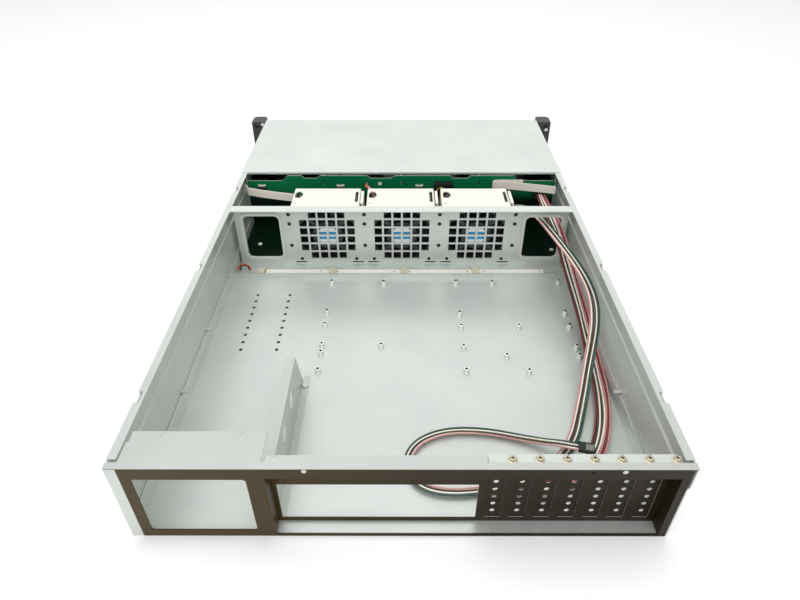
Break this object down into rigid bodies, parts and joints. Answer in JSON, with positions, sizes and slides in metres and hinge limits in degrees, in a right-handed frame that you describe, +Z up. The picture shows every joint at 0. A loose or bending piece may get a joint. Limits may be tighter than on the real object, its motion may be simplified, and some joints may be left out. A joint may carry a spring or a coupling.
{
  "type": "empty rackmount server case",
  "caption": "Low sheet-steel rack case, open over the board bay, with a fan wall, slotted rear panel, backplane, drive cage with sliding trays, rack ears and loose leads.",
  "frame": {"origin": "on the surface the case stands on, under the middle of its overall box", "axes": "+X to the right seen from the rear, +Y from the rear panel to the drive trays, +Z up"},
  "size_m": [0.4826, 0.688, 0.088],
  "materials": {
    "galvanised": "pale satin zinc coating",
    "zinc_screw": "bright zinc plating",
    "edge_trim": "matt",
    "strip_plastic": "matt",
    "standoff_steel": "plated",
    "circuit_board": "gloss solder mask",
    "connector_plastic": "matt",
    "ear_plastic": "fine grain",
    "button_plastic": "satin",
    "ribbon_plastic": "matt",
    "wire_jacket": "satin",
    "plug_plastic": "matt",
    "case_plastic": "matt",
    "fan_plastic": "satin",
    "tray_metal": "fine texture",
    "lever_plastic": "satin"
  },
  "bodies": {
    "chassis": {"floor_pan": "galvanised", "side_wall_left": "galvanised", "side_wall_right": "galvanised", "rear_panel": "galvanised", "psu_bracket": "galvanised", "slot_covers": "galvanised", "slot_screws": "zinc_screw", "case_screws": "zinc_screw", "front_cover": "galvanised", "fan_wall": "galvanised", "window_trims": "edge_trim", "guide_strip": "strip_plastic", "strip_clips": "strip_plastic", "standoffs": "standoff_steel", "backplane_board": "circuit_board", "board_connectors": "connector_plastic", "drive_cage": "galvanised", "ear_left": "ear_plastic", "ear_right": "ear_plastic", "ribbon_left": "ribbon_plastic", "ribbon_right": "ribbon_plastic", "fan_leads": "wire_jacket", "signal_lead": "wire_jacket", "lead_plugs": "plug_plastic", "power_lead": "wire_jacket", "fan_case_1": "case_plastic", "fan_frame_1": "fan_plastic", "fan_case_2": "case_plastic", "fan_frame_2": "fan_plastic", "fan_case_3": "case_plastic", "fan_frame_3": "fan_plastic"},
    "drive_tray_1": {"tray_1": "tray_metal"},
    "tray_lever_1": {"lever_1": "lever_plastic"},
    "drive_tray_2": {"tray_2": "tray_metal"},
    "tray_lever_2": {"lever_2": "lever_plastic"},
    "drive_tray_3": {"tray_3": "tray_metal"},
    "tray_lever_3": {"lever_3": "lever_plastic"},
    "drive_tray_4": {"tray_4": "tray_metal"},
    "tray_lever_4": {"lever_4": "lever_plastic"},
    "drive_tray_5": {"tray_5": "tray_metal"},
    "tray_lever_5": {"lever_5": "lever_plastic"},
    "drive_tray_6": {"tray_6": "tray_metal"},
    "tray_lever_6": {"lever_6": "lever_plastic"},
    "drive_tray_7": {"tray_7": "tray_metal"},
    "tray_lever_7": {"lever_7": "lever_plastic"},
    "drive_tray_8": {"tray_8": "tray_metal"},
    "tray_lever_8": {"lever_8": "lever_plastic"},
    "drive_tray_9": {"tray_9": "tray_metal"},
    "tray_lever_9": {"lever_9": "lever_plastic"},
    "drive_tray_10": {"tray_10": "tray_metal"},
    "tray_lever_10": {"lever_10": "lever_plastic"},
    "drive_tray_11": {"tray_11": "tray_metal"},
    "tray_lever_11": {"lever_11": "lever_plastic"},
    "drive_tray_12": {"tray_12": "tray_metal"},
    "tray_lever_12": {"lever_12": "lever_plastic"},
    "rotor_1": {"fan_rotor_1": "fan_plastic"},
    "rotor_2": {"fan_rotor_2": "fan_plastic"},
    "rotor_3": {"fan_rotor_3": "fan_plastic"},
    "power_push": {"power_button": "button_plastic"},
    "reset_push": {"reset_button": "button_plastic"}
  },
  "joints": [
    {"name": "tray_slide_1", "type": "slide", "parent": "chassis", "child": "drive_tray_1", "axis": [0, 1, 0], "range_m": [0, 0.17]},
    {"name": "lever_hinge_1", "type": "hinge", "parent": "drive_tray_1", "child": "tray_lever_1", "pos_m": [-0.2065, 0.34215, 0.0168], "axis": [0, 0, 1], "range_deg": [0, 70]},
    {"name": "tray_slide_2", "type": "slide", "parent": "chassis", "child": "drive_tray_2", "axis": [0, 1, 0], "range_m": [0, 0.17]},
    {"name": "lever_hinge_2", "type": "hinge", "parent": "drive_tray_2", "child": "tray_lever_2", "pos_m": [-0.2065, 0.34215, 0.0436], "axis": [0, 0, 1], "range_deg": [0, 70]},
    {"name": "tray_slide_3", "type": "slide", "parent": "chassis", "child": "drive_tray_3", "axis": [0, 1, 0], "range_m": [0, 0.17]},
    {"name": "lever_hinge_3", "type": "hinge", "parent": "drive_tray_3", "child": "tray_lever_3", "pos_m": [-0.2065, 0.34215, 0.0704], "axis": [0, 0, 1], "range_deg": [0, 70]},
    {"name": "tray_slide_4", "type": "slide", "parent": "chassis", "child": "drive_tray_4", "axis": [0, 1, 0], "range_m": [0, 0.17]},
    {"name": "lever_hinge_4", "type": "hinge", "parent": "drive_tray_4", "child": "tray_lever_4", "pos_m": [-0.0995, 0.34215, 0.0168], "axis": [0, 0, 1], "range_deg": [0, 70]},
    {"name": "tray_slide_5", "type": "slide", "parent": "chassis", "child": "drive_tray_5", "axis": [0, 1, 0], "range_m": [0, 0.17]},
    {"name": "lever_hinge_5", "type": "hinge", "parent": "drive_tray_5", "child": "tray_lever_5", "pos_m": [-0.0995, 0.34215, 0.0436], "axis": [0, 0, 1], "range_deg": [0, 70]},
    {"name": "tray_slide_6", "type": "slide", "parent": "chassis", "child": "drive_tray_6", "axis": [0, 1, 0], "range_m": [0, 0.17]},
    {"name": "lever_hinge_6", "type": "hinge", "parent": "drive_tray_6", "child": "tray_lever_6", "pos_m": [-0.0995, 0.34215, 0.0704], "axis": [0, 0, 1], "range_deg": [0, 70]},
    {"name": "tray_slide_7", "type": "slide", "parent": "chassis", "child": "drive_tray_7", "axis": [0, 1, 0], "range_m": [0, 0.17]},
    {"name": "lever_hinge_7", "type": "hinge", "parent": "drive_tray_7", "child": "tray_lever_7", "pos_m": [0.0075, 0.34215, 0.0168], "axis": [0, 0, 1], "range_deg": [0, 70]},
    {"name": "tray_slide_8", "type": "slide", "parent": "chassis", "child": "drive_tray_8", "axis": [0, 1, 0], "range_m": [0, 0.17]},
    {"name": "lever_hinge_8", "type": "hinge", "parent": "drive_tray_8", "child": "tray_lever_8", "pos_m": [0.0075, 0.34215, 0.0436], "axis": [0, 0, 1], "range_deg": [0, 70]},
    {"name": "tray_slide_9", "type": "slide", "parent": "chassis", "child": "drive_tray_9", "axis": [0, 1, 0], "range_m": [0, 0.17]},
    {"name": "lever_hinge_9", "type": "hinge", "parent": "drive_tray_9", "child": "tray_lever_9", "pos_m": [0.0075, 0.34215, 0.0704], "axis": [0, 0, 1], "range_deg": [0, 70]},
    {"name": "tray_slide_10", "type": "slide", "parent": "chassis", "child": "drive_tray_10", "axis": [0, 1, 0], "range_m": [0, 0.17]},
    {"name": "lever_hinge_10", "type": "hinge", "parent": "drive_tray_10", "child": "tray_lever_10", "pos_m": [0.1145, 0.34215, 0.0168], "axis": [0, 0, 1], "range_deg": [0, 70]},
    {"name": "tray_slide_11", "type": "slide", "parent": "chassis", "child": "drive_tray_11", "axis": [0, 1, 0], "range_m": [0, 0.17]},
    {"name": "lever_hinge_11", "type": "hinge", "parent": "drive_tray_11", "child": "tray_lever_11", "pos_m": [0.1145, 0.34215, 0.0436], "axis": [0, 0, 1], "range_deg": [0, 70]},
    {"name": "tray_slide_12", "type": "slide", "parent": "chassis", "child": "drive_tray_12", "axis": [0, 1, 0], "range_m": [0, 0.17]},
    {"name": "lever_hinge_12", "type": "hinge", "parent": "drive_tray_12", "child": "tray_lever_12", "pos_m": [0.1145, 0.34215, 0.0704], "axis": [0, 0, 1], "range_deg": [0, 70]},
    {"name": "fan_spin_1", "type": "hinge", "parent": "chassis", "child": "rotor_1", "pos_m": [-0.0943, 0.061, 0.0438], "axis": [0, 1, 0], "continuous": true},
    {"name": "fan_spin_2", "type": "hinge", "parent": "chassis", "child": "rotor_2", "pos_m": [0.0011, 0.061, 0.0438], "axis": [0, 1, 0], "continuous": true},
    {"name": "fan_spin_3", "type": "hinge", "parent": "chassis", "child": "rotor_3", "pos_m": [0.0965, 0.061, 0.0438], "axis": [0, 1, 0], "continuous": true},
    {"name": "power_press", "type": "slide", "parent": "chassis", "child": "power_push", "axis": [0, -1, 0], "range_m": [0, 0.0012], "stiffness_N_per_m": 300, "springref_m": -0.002},
    {"name": "reset_press", "type": "slide", "parent": "chassis", "child": "reset_push", "axis": [0, -1, 0], "range_m": [0, 0.0012], "stiffness_N_per_m": 200, "springref_m": -0.002}
  ]
}
